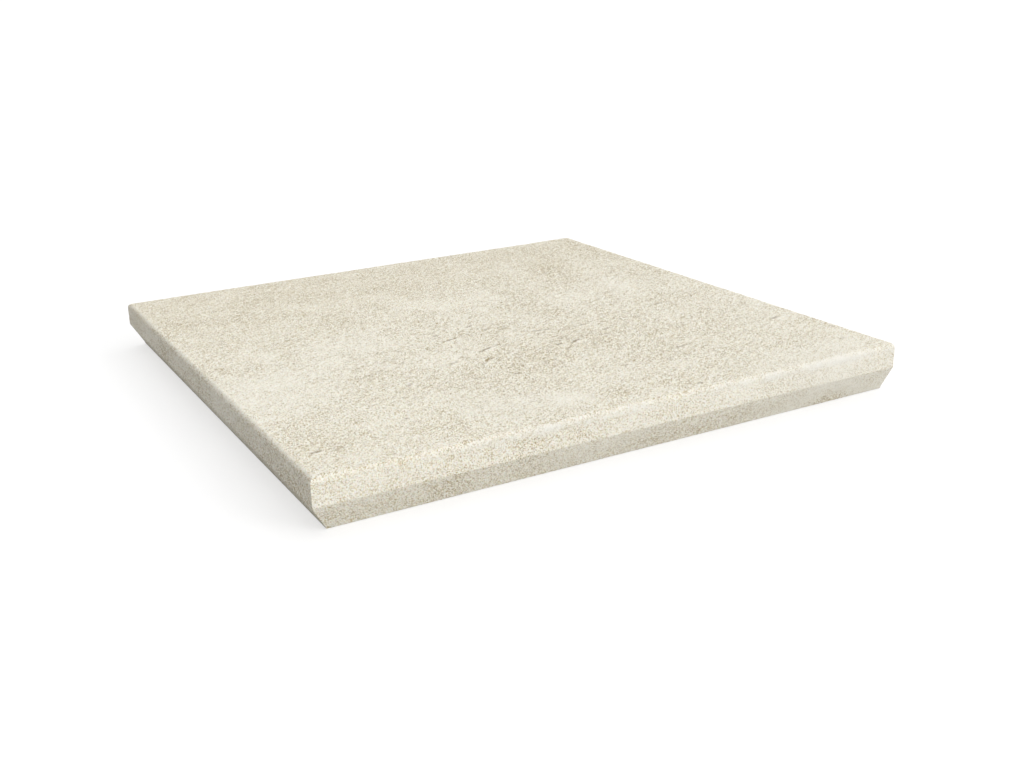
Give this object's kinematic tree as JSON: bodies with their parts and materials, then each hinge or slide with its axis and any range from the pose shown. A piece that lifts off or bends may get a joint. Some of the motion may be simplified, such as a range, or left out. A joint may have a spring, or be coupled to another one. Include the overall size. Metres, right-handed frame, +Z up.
{
  "type": "corner stair nosing tile",
  "caption": "Square pale stone-look stoneware tile for an outer stair corner, with an undercut nose on two mitred edges and a keyed, recessed underside.",
  "frame": {"origin": "under the middle of the tile, level with the foot of the noses", "axes": "+X along the front nose away from the mitred corner, +Y from the front nose to the plain back edge, +Z up out of the walking surface"},
  "size_m": [0.33, 0.33, 0.028],
  "materials": {
    "stoneware": "matt, fine sandy stone look with soft beige clouds"
  },
  "bodies": {
    "root": {"corner_nosing_tile": "stoneware"}
  },
  "joints": []
}
